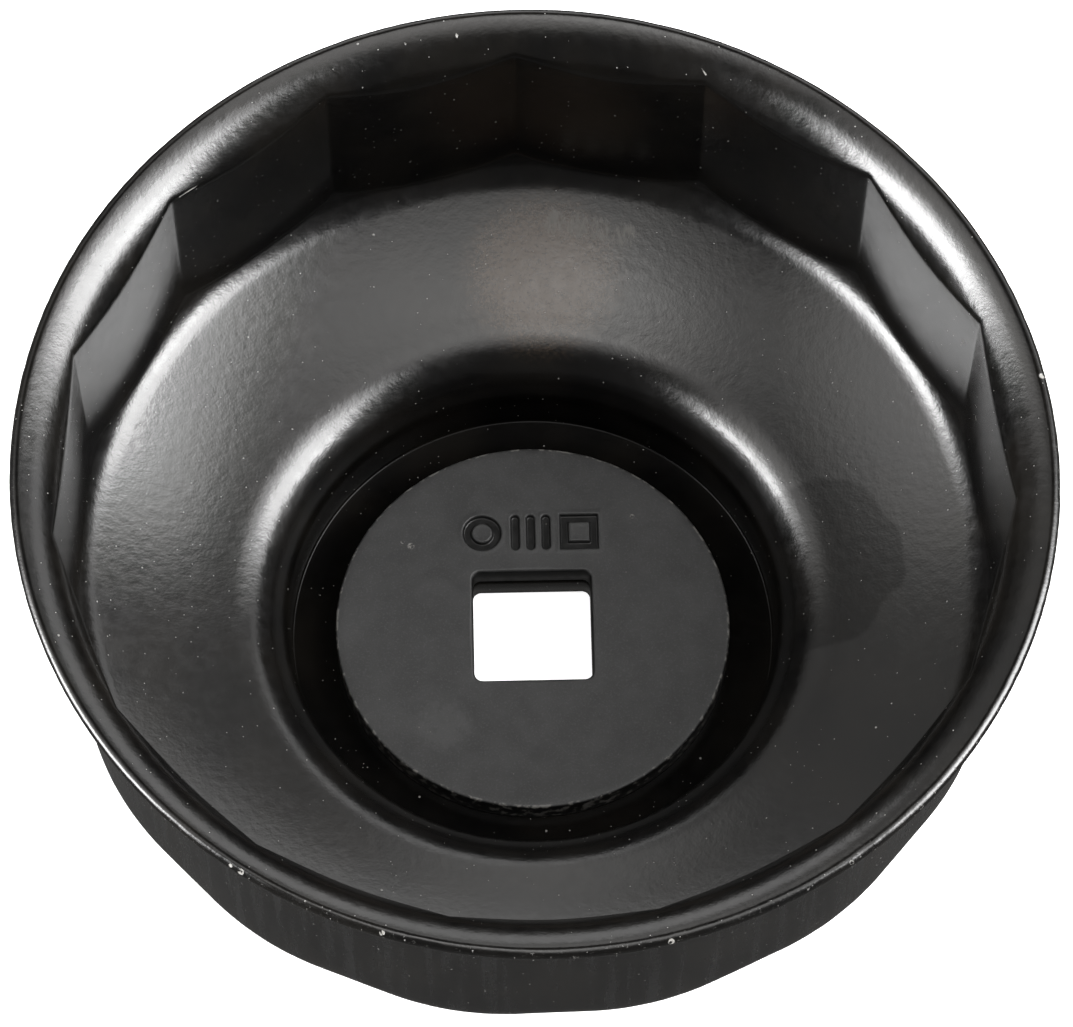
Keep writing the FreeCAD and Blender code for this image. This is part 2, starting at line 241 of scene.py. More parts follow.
# Marks of use on the cup, in millimetres: where each scratch starts and ends, and how wide it is.
SCRATCHES = (
    ((-5.5, 39.4, 35.2), (-5.3, 38.5, 35.1), 0.10),
    ((-9.7, 38.4, 35.2), (-9.3, 37.9, 35.1), 0.09),
    ((14.2, 36.0, 34.9), (14.8, 35.3, 34.4), 0.09),
    ((34.6, 14.9, 30.2), (35.3, 12.6, 26.4), 0.05),
    ((35.0, 13.8, 28.6), (35.9, 10.6, 24.0), 0.05),
    ((35.5, 12.0, 26.2), (36.3, 8.6, 22.6), 0.04),
    ((-28.6, 24.9, 33.6), (-21.5, 30.2, 32.4), 0.06),
)
STAIN = (24.0, 2.2, 11.0)
STAIN_EDGE = (10.4, 11.0)       # its largest radius, over which it fades out
STAIN_WANDER = 7.0              # the most that its wandering edge takes off, and how far its bends are apart
SCUFFS = ((2.6, 33.1, 14.1), (4.6, 32.7, 14.0), (6.4, 32.4, 13.9), (8.6, 31.8, 13.9))
# middle of the painted warm reflection on the far shoulder
PAINTED_REFLECTION_CENTRE = (1.5, 29.0, 12.6)
BLOTCH_CENTRE = (-7.5, -9.0, 4.5)
# A patch's radius, how far apart its grain is, the two values that it fades in between, and how the
# grain is scaled along each axis.
SCUFF_SHAPE = (2.4, 0.3, 0.34, 0.6, (1, 0.3, 0.3))
PAINTED_REFLECTION_SHAPE = (12.0, 0.3, 0.2, 0.55, (1, 1, 1))
BLOTCH_SHAPE = (4.5, 0.9, 0.25, 0.5, (1, 1, 1))
CHIPS = (                       # where each chip is and how large
    ((40.2, 6.5, 35.6), 0.28),
    ((38.2, 13.2, 35.5), 0.22),
    ((-22.8, -34.0, 35.5), 0.30),
    ((-23.6, -33.5, 35.5), 0.20),
    ((-12.2, -39.1, 35.5), 0.26),
    ((9.4, -40.2, 35.4), 0.30),
    ((23.2, -34.2, 35.5), 0.22),
    ((-33.0, -23.4, 35.4), 0.22),
)
PLATE_NICKS = (
    ((-10.1, 7.5, 4.5), 0.34),
    ((-10.8, 7.9, 4.5), 0.20),
    ((8.6, 9.9, 4.5), 0.24),
    ((5.3, -15.6, 4.4), 0.16),
    ((5.2, -16.1, 4.4), 0.20),
)
PLATE_DUST = (1.1, 0.07, 0.3)


# ---- rings ----

def polygon_radius(azimuth, sides, corner_azimuth, apothem, rounding):
    """Distance from the axis to a regular polygon with rounded corners."""
    half = math.pi / sides
    turned = azimuth - math.radians(corner_azimuth)
    from_corner = np.abs((turned + half) % (2 * half) - half)
    straight = apothem / np.cos(half - from_corner)
    centre = (apothem - rounding) / math.cos(half)
    arc_reach = half - math.atan((apothem - rounding) * math.tan(half) / apothem)
    sunk = np.maximum(rounding ** 2 - (centre * np.sin(from_corner)) ** 2, 0)
    rounded = centre * np.cos(from_corner) + np.sqrt(sunk)
    return np.where(from_corner < arc_reach, rounded, straight)


def arc_rings(centre, radius, start, end, count):
    """Rings along an arc of the profile, both ends included. Angles are numbers or one per column."""
    rings = []
    for step in np.linspace(0, 1, count):
        angle = start + (end - start) * step
        rings.append((centre[0] + radius * np.cos(angle), centre[1] + radius * np.sin(angle)))
    return rings


def line_rings(start, end, count):
    """Rings between two others, neither included."""
    steps = np.linspace(0, 1, count + 2)[1:-1]
    across, up = end[0] - start[0], end[1] - start[1]
    return [(start[0] + across * step, start[1] + up * step) for step in steps]


def bend_rings(start, control, end, count):
    """Rings along a soft bend from start to end that heads for the control point, ends included."""
    rings = []
    for step in np.linspace(0, 1, count):
        back, both, on = (1 - step) ** 2, 2 * step * (1 - step), step ** 2
        rings.append(tuple(back * start[axis] + both * control[axis] + on * end[axis] for axis in (0, 1)))
    return rings


def ring_mesh(name, rings, azimuth):
    """One closed mesh from rings of (radius, height) that follow the whole profile round."""
    columns = len(azimuth)
    points = np.zeros((len(rings), columns, 3))
    for row, (radius, height) in enumerate(rings):
        points[row, :, 0] = radius * np.cos(azimuth)
        points[row, :, 1] = radius * np.sin(azimuth)
        points[row, :, 2] = height
    row, column = np.meshgrid(np.arange(len(rings)), np.arange(columns), indexing="ij")
    next_row = (row + 1) % len(rings)
    next_column = (column + 1) % columns
    corners = (row * columns + column, next_row * columns + column,
               next_row * columns + next_column, row * columns + next_column)
    faces = np.stack(corners, axis=-1).reshape(-1, 4)
    mesh = bpy.data.meshes.new(name)
    mesh.from_pydata((points.reshape(-1, 3) * MM).tolist(), [], faces.tolist())
    mesh.shade_smooth()
    mesh.update()
    piece = bpy.data.objects.new(name, mesh)
    bpy.context.scene.collection.objects.link(piece)
    return piece


def ripple(place, bumps):
    """Height of smooth bumps at a place, from how high they are, how far apart, and their seed."""
    height, spacing, seed = bumps
    return height * noise.noise(place / spacing + Vector((seed, seed, seed)))


def smooth_step(low, high, value):
    """0 below low, 1 above high, smooth between."""
    part = min(max((value - low) / (high - low), 0), 1)
    return part * part * (3 - 2 * part)


def push_along_normals(piece, unevenness):
    """Move each point along its normal by what a function of its place in millimetres says."""
    normals = [point.normal.copy() for point in piece.data.vertices]
    for point, normal in zip(piece.data.vertices, normals):
        point.co += normal * unevenness(point.co / MM) * MM
    piece.data.update()


def cup_unevenness(place):
    """Slow ripples of the drawn sheet, draw marks down the outside, and the rim's ragged trim."""
    radius = math.hypot(place.x, place.y)
    push = ripple(place, SLOW_RIPPLE) + ripple(place, FINE_RIPPLE)
    on_wall = smooth_step(*WALL_BAND, radius)
    below_rim = 1 - smooth_step(*WALL_TOP_BAND, place.z)
    down_wall = Vector((place.x, place.y, place.z * DRAWN_OUT))
    push += ripple(down_wall, DRAW_MARKS) * on_wall * below_rim
    push += (ripple(place, RAGGED_TRIM) - TRIM_SETBACK) * smooth_step(*TRIM_BAND, radius)
    off_bench = smooth_step(*BENCH_BAND, place.z)
    return (push - SKIN / 2) * off_bench


def plate_unevenness(place):
    """Faint waves of the plate's punched face, and the burrs at its outer edge."""
    radius = math.hypot(place.x, place.y)
    on_edge = smooth_step(*PLATE_EDGE_BAND, radius)
    return ripple(place, PLATE_WAVES) + (ripple(place, PLATE_BURRS) - BURR_SETBACK) * on_edge


def cup_columns():
    """Azimuths of the cup's columns, closest together at the corners between the flats."""
    per_flute = 40
    crowding = 1.6
    steps = np.linspace(-1, 1, per_flute + 1)[:-1]
    offsets = HALF_FLUTE * np.sign(steps) * np.abs(steps) ** crowding
    corners = FLUTE_TURN + 2 * HALF_FLUTE * np.arange(FLUTE_COUNT)
    return np.radians((corners[:, None] + offsets[None, :]).ravel())


# ---- the cup ----

def well_rings(hole):
    """Floor of the well, its corner, its side and the rounded edge up on to the shoulder."""
    slope = math.radians(SHOULDER_SLOPE)
    corner_centre = (WELL_RADIUS - WELL_CORNER, FLOOR_TOP + WELL_CORNER)
    edge_rise = WELL_EDGE * (1 - math.sin(slope)) / math.cos(slope)
    edge_centre = (WELL_RADIUS + WELL_EDGE, WELL_EDGE_HEIGHT - edge_rise)
    edge_end = math.pi / 2 + slope - math.radians(SHOULDER_DISH)
    rings = line_rings((hole, FLOOR_TOP), (corner_centre[0], FLOOR_TOP), 6)
    rings += arc_rings(corner_centre, WELL_CORNER, -math.pi / 2, 0, 7)
    rings += line_rings((WELL_RADIUS, corner_centre[1]), (WELL_RADIUS, edge_centre[1]), 4)
    return rings + arc_rings(edge_centre, WELL_EDGE, math.pi, edge_end, 14)


def shoulder_rings(start, wall):
    """The sloping shoulder and its rounding up to the flats, which cut it off in arches."""
    slope = math.radians(SHOULDER_SLOPE)
    height = WELL_EDGE_HEIGHT + (SHOULDER_RADIUS - WELL_RADIUS) * math.tan(slope)
    rise = SHOULDER_CORNER * (1 - math.sin(slope)) / math.cos(slope)
    centre = (SHOULDER_RADIUS - SHOULDER_CORNER, height + rise)
    dish = math.radians(SHOULDER_DISH)
    first = slope + dish - math.pi / 2
    last = -np.arccos((wall - centre[0]) / SHOULDER_CORNER) - CREASE / SHOULDER_CORNER
    arc = arc_rings(centre, SHOULDER_CORNER, first, last, 9)
    heading = (-np.sin(last), np.cos(last))
    meeting = (wall, arc[-1][1] + (wall - arc[-1][0]) * heading[1] / heading[0])
    bend = bend_rings(arc[-1], meeting, (wall, meeting[1] + CREASE), 6)
    return dish_rings(start, slope - dish, arc[0], slope + dish) + arc[1:] + bend[1:]


def dish_rings(start, start_slope, end, end_slope):
    """Rings along a slightly dished slope, from the ring after the start to the end."""
    begin, finish = math.tan(start_slope), math.tan(end_slope)
    control = (end[1] - start[1] + begin * start[0] - finish * end[0]) / (begin - finish)
    return bend_rings(start, (control, start[1] + begin * (control - start[0])), end, 14)[1:]


def rim_radius(azimuth):
    """Radius of the trimmed rim, which is slightly oval and off the axis."""
    oval = RIM_OVAL * np.cos(2 * (azimuth - math.radians(RIM_OVAL_AZIMUTH)))
    shift = RIM_SHIFT * np.cos(azimuth - math.radians(RIM_SHIFT_AZIMUTH))
    return RIM_RADIUS + oval + shift


def mouth_rings(start, inside, outside, rim):
    """The flats up to the bell mouth, the mouth, the rounded rim and the flare under it to the wall."""
    rim_centre = (rim - RIM_ROUND, RIM_TOP - RIM_ROUND)
    across = MOUTH_CENTRE - rim_centre[0]
    centre = (MOUTH_CENTRE, rim_centre[1] - np.sqrt((MOUTH - RIM_ROUND) ** 2 - across ** 2))
    first = math.pi - np.arccos((MOUTH_CENTRE - inside) / MOUTH) - CREASE / MOUTH
    last = np.arctan2(rim_centre[1] - centre[1], rim_centre[0] - centre[0])
    mouth = arc_rings(centre, MOUTH, first, last, 12)
    heading = (np.sin(first), -np.cos(first))
    meeting = (inside, mouth[0][1] + (inside - mouth[0][0]) * heading[1] / heading[0])
    bend = bend_rings((inside, meeting[1] - CREASE), meeting, mouth[0], 6)
    edge = arc_rings(rim_centre, RIM_ROUND, last, last - math.pi, 14)
    under = MOUTH - 2 * RIM_ROUND
    flare_end = math.pi - np.arccos((MOUTH_CENTRE - outside) / under) - CREASE / under
    flare = arc_rings(centre, under, last, flare_end, 9)
    heading = (np.sin(flare_end), -np.cos(flare_end))
    meeting = (outside, flare[-1][1] + (outside - flare[-1][0]) * heading[1] / heading[0])
    under_bend = bend_rings(flare[-1], meeting, (outside, meeting[1] - CREASE), 5)
    return line_rings(start, bend[0], 11) + bend + mouth[1:] + edge[1:] + flare[1:] + under_bend[1:]


def outside_rings(start, wall):
    """Down the wall, round the base corner and in under the shoulder to the boss."""
    base_centre = (wall - BASE_CORNER, BASE_CENTRE_HEIGHT)
    to_centre = (base_centre[0] - BOSS_RADIUS, base_centre[1] - BOSS_ROOT_HEIGHT)
    slope = np.arctan2(to_centre[1], to_centre[0]) - np.arcsin(BASE_CORNER / np.hypot(*to_centre))
    base = arc_rings(base_centre, BASE_CORNER, 0 * wall, slope - math.pi / 2, 11)
    turn = (math.pi / 2 - slope) / 2
    reach = BOSS_ROOT * np.tan(turn)
    root_start = (BOSS_RADIUS + reach * np.cos(slope), BOSS_ROOT_HEIGHT + reach * np.sin(slope))
    root_end = (BOSS_RADIUS + 0 * wall, BOSS_ROOT_HEIGHT - reach)
    root = bend_rings(root_start, (BOSS_RADIUS, BOSS_ROOT_HEIGHT), root_end, 6)
    return line_rings(start, base[0], 12) + base + line_rings(base[-1], root[0], 4) + root


def boss_rings(start, hole):
    """The side and the back of the boss, in to the drive square and up through it."""
    corner_centre = (BOSS_RADIUS - BOSS_CORNER, BOSS_CORNER)
    corner = arc_rings(corner_centre, BOSS_CORNER, 0, -math.pi / 2, 8)
    broken = hole + SQUARE_BREAK
    rings = line_rings(start, corner[0], 2) + corner
    rings += line_rings(corner[-1], (broken, 0), 4)
    through = [(broken, 0), (hole, SQUARE_BREAK), (hole, FLOOR_TOP - SQUARE_BREAK), (broken, FLOOR_TOP)]
    return rings + through


def make_cup():
    """The cup, from the hole in the well's floor out and up to the rim, then down and in to the hole."""
    azimuth = cup_columns()
    inside = polygon_radius(azimuth, FLUTE_COUNT, FLUTE_TURN, INSIDE_APOTHEM, INSIDE_CORNER)
    outside = polygon_radius(azimuth, FLUTE_COUNT, FLUTE_TURN, OUTSIDE_APOTHEM, OUTSIDE_CORNER)
    hole = polygon_radius(azimuth, 4, 45, SQUARE / 2, SQUARE_CORNER)
    rings = well_rings(hole + SQUARE_BREAK)
    rings += shoulder_rings(rings[-1], inside)
    rings += mouth_rings(rings[-1], inside, outside, rim_radius(azimuth))
    rings += outside_rings(rings[-1], outside)
    rings += boss_rings(rings[-1], hole)
    cup = ring_mesh("cup_shell_coated", rings, azimuth)
    push_along_normals(cup, cup_unevenness)
    return cup


# ---- the drive plate ----

def sign_distance(x, y):
    """Distance from the middle of the nearest stroke of the sign."""
    half = (MARK_SIZE - MARK_STROKE) / 2
    y = y - MARK_DISTANCE
    nearest = np.abs(np.hypot(x + MARK_SPACING, y) - half)
    for step in (-1, 0, 1):
        nearest = np.minimum(nearest, np.hypot(x - step * MARK_PITCH, np.maximum(np.abs(y) - half, 0)))
    square = np.maximum(np.abs(x - MARK_SPACING), np.abs(y)) - half
    return np.minimum(nearest, np.abs(square))


def stamped_height(x, y):
    """Height of the plate's top face: sunk in the sign's strokes, with a slight burr beside them."""
    wall = 0.16
    burr_width = 0.18
    burr_height = 0.03
    from_edge = sign_distance(x, y) - MARK_STROKE / 2
    inside = np.clip(0.5 - from_edge / wall, 0, 1)
    sunk = inside * inside * (3 - 2 * inside)
    burr = np.exp(-((from_edge - burr_width) / burr_width) ** 2)
    return PLATE_TOP - SKIN - MARK_DEPTH * sunk + burr_height * burr


def plate_columns():
    """Azimuths of the plate's columns, closest together over the sign."""
    first, last = 48, 132
    fine = np.arange(first, last, 0.36)
    coarse = np.arange(last, first + 360, 1.6)
    return np.radians(np.concatenate([fine, coarse]))


def sign_rings(azimuth, hole):
    """Fine rings of the plate's face from beside the hole to beyond the far end of the sign."""
    spacing = 0.06
    low = MARK_DISTANCE - MARK_SIZE / 2 - MARK_STROKE
    far_corner = math.hypot(MARK_DISTANCE + MARK_SIZE / 2, MARK_SPACING + MARK_SIZE / 2)
    high = far_corner + MARK_STROKE
    start = np.maximum(low + 0 * azimuth, hole + MARK_STROKE)
    rings = line_rings((hole, PLATE_TOP - SKIN), (start, PLATE_TOP - SKIN), 5)
    for step in np.linspace(0, 1, len(np.arange(low, high, spacing))):
        radius = start + (high - start) * step
        rings.append((radius, stamped_height(radius * np.cos(azimuth), radius * np.sin(azimuth))))
    return rings, (high, PLATE_TOP - SKIN)


def make_plate():
    """The plate, from its back up through the hole, out over its face, then down its side and back."""
    azimuth = plate_columns()
    top = PLATE_TOP - SKIN
    hole = polygon_radius(azimuth, 4, 45, SQUARE / 2, SQUARE_CORNER)
    broken = hole + SQUARE_BREAK
    edge = arc_rings((PLATE_RADIUS - PLATE_EDGE, top - PLATE_EDGE), PLATE_EDGE, math.pi / 2, 0, 5)
    sign, sign_end = sign_rings(azimuth, broken)
    rings = [(broken, FLOOR_TOP), (hole, FLOOR_TOP + SQUARE_BREAK), (hole, top - SQUARE_BREAK)]
    rings += line_rings(rings[-1], (broken, top), 2) + [(broken, top)]
    rings += sign + line_rings(sign_end, edge[0], 6) + edge
    rings += [(PLATE_RADIUS, FLOOR_TOP + PLATE_EDGE), (PLATE_RADIUS, FLOOR_TOP)]
    rings += line_rings(rings[-1], (broken, FLOOR_TOP), 5)
    plate = ring_mesh("drive_plate_coated", rings, azimuth)
    push_along_normals(plate, plate_unevenness)
    return plate


# ---- shader nodes ----

def add_node(tree, kind, inputs, **settings):
    """A shader node with its settings made and its inputs filled from sockets or plain values."""
    node = tree.nodes.new(kind)
    for name, value in settings.items():
        setattr(node, name, value)
    for name, value in inputs.items():
        if isinstance(value, bpy.types.NodeSocket):
            tree.links.new(value, node.inputs[name])
        else:
            node.inputs[name].default_value = value
    return node


def add_math(tree, operation, *values):
    """One operation on sockets or plain values."""
    return add_node(tree, "ShaderNodeMath", dict(enumerate(values)), operation=operation).outputs[0]


def add_mix(tree, factor, first, second):
    """One colour or the other by a factor."""
    node = add_node(tree, "ShaderNodeMix", {0: factor, 6: first, 7: second}, data_type="RGBA")
    return node.outputs[2]


def add_largest(tree, values):
    """The largest of several values."""
    largest = values[0]
    for value in values[1:]:
        largest = add_math(tree, "MAXIMUM", largest, value)
    return largest


def add_ramp(tree, value, low, high, start=0.0, end=1.0):
    """start where value is below low, end where it is above high, smooth between."""
    node = add_node(tree, "ShaderNodeMapRange",
                    {"Value": value, "From Min": low, "From Max": high, "To Min": start, "To Max": end},
                    interpolation_type="SMOOTHSTEP")
    return node.outputs["Result"]


def add_fade(tree, length, band, start=1.0, end=0.0):
    """start where a length is below a band in millimetres, end where it is above, smooth between."""
    low, high = band
    return add_ramp(tree, length, low * MM, high * MM, start, end)


def add_noise(tree, place, spacing, detail=2.0, roughness=0.5):
    """Noise between 0 and 1 whose bumps are about a spacing in millimetres apart."""
    settings = {"Vector": place, "Scale": 1 / (spacing * MM), "Detail": detail, "Roughness": roughness}
    return add_node(tree, "ShaderNodeTexNoise", settings).outputs[0]


def add_grain(tree, place, grain, start=0.0, end=1.0):
    """Ramp over a noise, by one of the named grains of the finishes."""
    spacing, detail, roughness, low, high = grain
    return add_ramp(tree, add_noise(tree, place, spacing, detail, roughness), low, high, start, end)


def place_of(tree):
    """The place on the object, in metres."""
    return add_node(tree, "ShaderNodeTexCoord", {}).outputs["Object"]


def stretch(tree, place, scale):
    """The place with each of its axes scaled, so that a pattern on it is stretched by the inverse."""
    return add_node(tree, "ShaderNodeVectorMath", {0: place, 1: scale}, operation="MULTIPLY").outputs[0]


def add_height(tree, place):
    """Height above the bench in metres."""
    return add_node(tree, "ShaderNodeSeparateXYZ", {"Vector": place}).outputs["Z"]


def add_distance_from_axis(tree, place):
    """Distance from the object's axis in metres."""
    flat = stretch(tree, place, (1, 1, 0))
    return add_node(tree, "ShaderNodeVectorMath", {0: flat}, operation="LENGTH").outputs["Value"]


def add_specks(tree, place, spacing, size, share):
    """1 on tiny round specks: spacing and size in millimetres, share of the places that have one."""
    cells = add_node(tree, "ShaderNodeTexVoronoi", {"Vector": place, "Scale": 1 / (spacing * MM)})
    near = add_ramp(tree, cells.outputs["Distance"], 0.5 * size / spacing, size / spacing, 1.0, 0.0)
    chance = add_node(tree, "ShaderNodeSeparateColor", {"Color": cells.outputs["Color"]}).outputs[0]
    return add_math(tree, "MULTIPLY", near, add_math(tree, "LESS_THAN", chance, share))


def add_spot(tree, place, centre, radius, soft=0.3):
    """1 within a radius of a point, falling to 0 over the soft part of it. Sizes in millimetres."""
    gap = add_node(tree, "ShaderNodeVectorMath", {0: place, 1: Vector(centre) * MM}, operation="DISTANCE")
    return add_fade(tree, gap.outputs["Value"], (radius * (1 - soft), radius))


def add_scratch(tree, place, start, end, width):
    """1 along a straight scratch between two points, 0 away from it. Sizes in millimetres."""
    start, along = Vector(start) * MM, (Vector(end) - Vector(start)) * MM
    offset = add_node(tree, "ShaderNodeVectorMath", {0: place, 1: start}, operation="SUBTRACT").outputs[0]
    reach = add_node(tree, "ShaderNodeVectorMath", {0: offset, 1: along / along.length_squared},
                     operation="DOT_PRODUCT").outputs["Value"]
    reach = add_node(tree, "ShaderNodeClamp", {"Value": reach}).outputs[0]
    foot = add_node(tree, "ShaderNodeVectorMath", {0: along, "Scale": reach}, operation="SCALE").outputs[0]
    gap = add_node(tree, "ShaderNodeVectorMath", {0: offset, 1: foot}, operation="DISTANCE")
    return add_fade(tree, gap.outputs["Value"], (0.5 * width, width))


def add_patch(tree, place, centre, radius, spacing, low, high, scale):
    """A patch with a ragged edge, broken up by noise whose grain can be stretched along an axis."""
    spot = add_spot(tree, place, centre, radius, soft=0.8)
    broken = add_noise(tree, stretch(tree, place, scale), spacing, detail=5.0, roughness=0.7)
    return add_ramp(tree, add_math(tree, "MULTIPLY", spot, broken), low, high)


def new_material(piece, name):
    """A material with only a Principled shader, put on the piece in place of any other."""
    material = bpy.data.materials.new(name)
    material.use_nodes = True
    tree = material.node_tree
    tree.nodes.clear()
    shader = add_node(tree, "ShaderNodeBsdfPrincipled", {})
    output = add_node(tree, "ShaderNodeOutputMaterial", {})
    tree.links.new(shader.outputs[0], output.inputs["Surface"])
    piece.data.materials.clear()
    piece.data.materials.append(material)
    return tree, shader


def add_layers(tree, shader, colour, layers):
    """Colours laid over one another, each where its mask is, as the shader's colour."""
    for mask, (cover, over) in layers:
        colour = add_mix(tree, add_math(tree, "MULTIPLY", mask, cover), colour, over)
    tree.links.new(colour, shader.inputs["Base Color"])


def add_relief(tree, shader, parts):
    """Bump made of masks and noises, each with how high it stands in millimetres."""
    relief = 0.0
    for mask, height in parts:
        relief = add_math(tree, "MULTIPLY_ADD", mask, height * MM, relief)
    bump = add_node(tree, "ShaderNodeBump", {"Height": relief, "Strength": 1.0, "Distance": 1.0})
    tree.links.new(bump.outputs["Normal"], shader.inputs["Normal"])


# ---- surroundings ----

def direction(azimuth, elevation):
    """Unit vector towards an azimuth, from +X towards +Y, and an elevation."""
    around, up = math.radians(azimuth), math.radians(elevation)
    return Vector((math.cos(around) * math.cos(up), math.sin(around) * math.cos(up), math.sin(up)))


def add_camera():
    """The camera, aimed past the middle of the plate's top face."""
    azimuth, elevation = math.radians(VIEW_AZIMUTH), math.radians(VIEW_ELEVATION)
    back = Vector((math.sin(azimuth) * math.cos(elevation),
                   -math.cos(azimuth) * math.cos(elevation),
                   math.sin(elevation)))
    right = Vector((math.cos(azimuth), math.sin(azimuth), 0))
    up = back.cross(right)
    data = bpy.data.cameras.new("camera")
    data.lens = LENS
    data.sensor_width = SENSOR
    data.clip_start = 10 * MM
    camera = bpy.data.objects.new("camera", data)
    bpy.context.scene.collection.objects.link(camera)
    place = Vector((0, 0, PLATE_TOP)) + back * VIEW_DISTANCE + right * VIEW_RIGHT + up * VIEW_UP
    roll = Matrix.Rotation(math.radians(VIEW_ROLL), 4, "Z")
    turned = Matrix((right, up, back)).transposed().to_4x4() @ roll
    camera.matrix_world = Matrix.Translation(place * MM) @ turned
    bpy.context.scene.camera = camera


def add_softbox(name, azimuth, elevation, width, height, radiance):
    """A soft rectangular light that faces the object. Width and height are angles, as seen from it."""
    data = bpy.data.lights.new(name, "AREA")
    data.shape = "RECTANGLE"
    data.size = 2 * LIGHT_DISTANCE * math.tan(math.radians(width / 2)) * MM
    data.size_y = 2 * LIGHT_DISTANCE * math.tan(math.radians(height / 2)) * MM
    data.energy = radiance * math.pi * data.size * data.size_y
    light = bpy.data.objects.new(name, data)
    light.location = direction(azimuth, elevation) * LIGHT_DISTANCE * MM
    light.rotation_mode = "QUATERNION"
    light.rotation_quaternion = light.location.to_track_quat("Z", "Y")
    light.visible_camera = False
    bpy.context.scene.collection.objects.link(light)


def add_lobe(tree, towards, azimuth, elevation, core, reach):
    """1 within core degrees of a direction, 0 beyond reach degrees, smooth between."""
    dot = add_node(tree, "ShaderNodeVectorMath", {0: towards, 1: direction(azimuth, elevation)},
                   operation="DOT_PRODUCT")
    ramp = add_node(tree, "ShaderNodeMapRange",
                    {"Value": dot.outputs["Value"],
                     "From Min": math.cos(math.radians(reach)), "From Max": math.cos(math.radians(core))},
                    interpolation_type="SMOOTHSTEP")
    return ramp.outputs["Result"]


def make_world():
    """The studio round the object: soft glows overhead and behind it, a dark gap and a dim table."""
    world = bpy.data.worlds.new("studio")
    bpy.context.scene.world = world
    world.use_nodes = True
    tree = world.node_tree
    tree.nodes.clear()
    towards = add_node(tree, "ShaderNodeTexCoord", {}).outputs["Generated"]
    level = STUDIO_DIM
    for azimuth, elevation, core, reach, radiance in STUDIO_GLOWS:
        lobe = add_lobe(tree, towards, azimuth, elevation, core, reach)
        level = add_math(tree, "MULTIPLY_ADD", lobe, radiance, level)
    gap = add_lobe(tree, towards, *STUDIO_GAP)
    kept = add_math(tree, "MULTIPLY_ADD", gap, -GAP_DEPTH, 1.0)
    level = add_math(tree, "MULTIPLY", level, kept)
    height = add_node(tree, "ShaderNodeSeparateXYZ", {"Vector": towards}).outputs["Z"]
    table = add_ramp(tree, height, *TABLE_BAND, 1.0, 0.0)
    level = add_math(tree, "MULTIPLY_ADD", table, STUDIO_TABLE, level)
    seen = add_node(tree, "ShaderNodeLightPath", {}).outputs["Is Camera Ray"]
    level = add_node(tree, "ShaderNodeMix", {0: seen, 2: level, 3: BACKDROP}, data_type="FLOAT").outputs[0]
    background = add_node(tree, "ShaderNodeBackground", {"Color": SKY_TINT, "Strength": level})
    output = add_node(tree, "ShaderNodeOutputWorld", {})
    tree.links.new(background.outputs[0], output.inputs[0])


def make_floor():
    """A large pale floor just under the object."""
    half, drop = TABLE_HALF * MM, TABLE_DROP * MM
    corners = [(-half, -half, -drop), (half, -half, -drop), (half, half, -drop), (-half, half, -drop)]
    mesh = bpy.data.meshes.new("studio_floor")
    mesh.from_pydata(corners, [], [(0, 1, 2, 3)])
    floor = bpy.data.objects.new("studio_floor", mesh)
    bpy.context.scene.collection.objects.link(floor)
    floor.visible_glossy = False
    tree, shader = new_material(floor, "pale_floor")
    shader.inputs["Base Color"].default_value = TABLE_WHITE
    shader.inputs["Roughness"].default_value = TABLE_ROUGHNESS
    shader.inputs["Emission Color"].default_value = (1, 1, 1, 1)
    shader.inputs["Emission Strength"].default_value = TABLE_GLOW


# ---- finishes ----

def wall_streaks(tree, place, radius, height):
    """Draw marks: long streaks down the outside of the wall, below the rim."""
    drawn = add_grain(tree, stretch(tree, place, (1, 1, DRAWN_OUT)), WALL_STREAKS)
    on_wall = add_fade(tree, radius, STREAK_BAND, 0.0, 1.0)
    below_rim = add_fade(tree, height, STREAK_TOP_BAND)
    return add_math(tree, "MULTIPLY", drawn, add_math(tree, "MULTIPLY", on_wall, below_rim))


def bare_places(tree, place, radius, height):
    """Where the coat is gone: scratches, chips and the worn trim of the rim."""
    scratches = add_largest(tree, [add_scratch(tree, place, *scratch) for scratch in SCRATCHES])
    chips = add_largest(tree, [add_spot(tree, place, *chip) for chip in CHIPS])
    trim = add_math(tree, "MULTIPLY", add_fade(tree, radius, WORN_BAND, 0.0, 1.0),
                    add_fade(tree, height, WORN_LOW_BAND, 0.0, 1.0))
    broken = []
    for mask, grain in ((scratches, SCRATCH_BREAKS), (chips, CHIP_EDGES), (trim, TRIM_WEAR)):
        broken.append(add_math(tree, "MULTIPLY", mask, add_grain(tree, place, grain)))
    return add_largest(tree, broken)


def coat_gloss(tree, place, radius, height):
    """How specular the coat is: less in the stain, and much less down in the well as painted shade."""
    wander = add_math(tree, "MULTIPLY", add_noise(tree, place, STAIN_WANDER, 1.0), STAIN_WANDER * MM)
    from_stain = add_node(tree, "ShaderNodeVectorMath", {0: place, 1: Vector(STAIN) * MM},
                          operation="DISTANCE").outputs["Value"]
    stain = add_fade(tree, add_math(tree, "ADD", from_stain, wander), STAIN_EDGE)
    level = add_math(tree, "MULTIPLY_ADD", stain, -STAIN_DULLING, COAT_SPECULAR)
    # painted shade: the gloss is cut in the well so that it reads dark
    in_well = add_fade(tree, radius, WELL_BAND, WELL_GLOSS, 1.0)
    inside = add_fade(tree, height, INSIDE_BAND, 0.0, 1.0)
    painted_well_shade = add_node(tree, "ShaderNodeMix", {0: inside, 2: 1.0, 3: in_well}, data_type="FLOAT").outputs[0]
    return add_math(tree, "MULTIPLY", level, painted_well_shade)


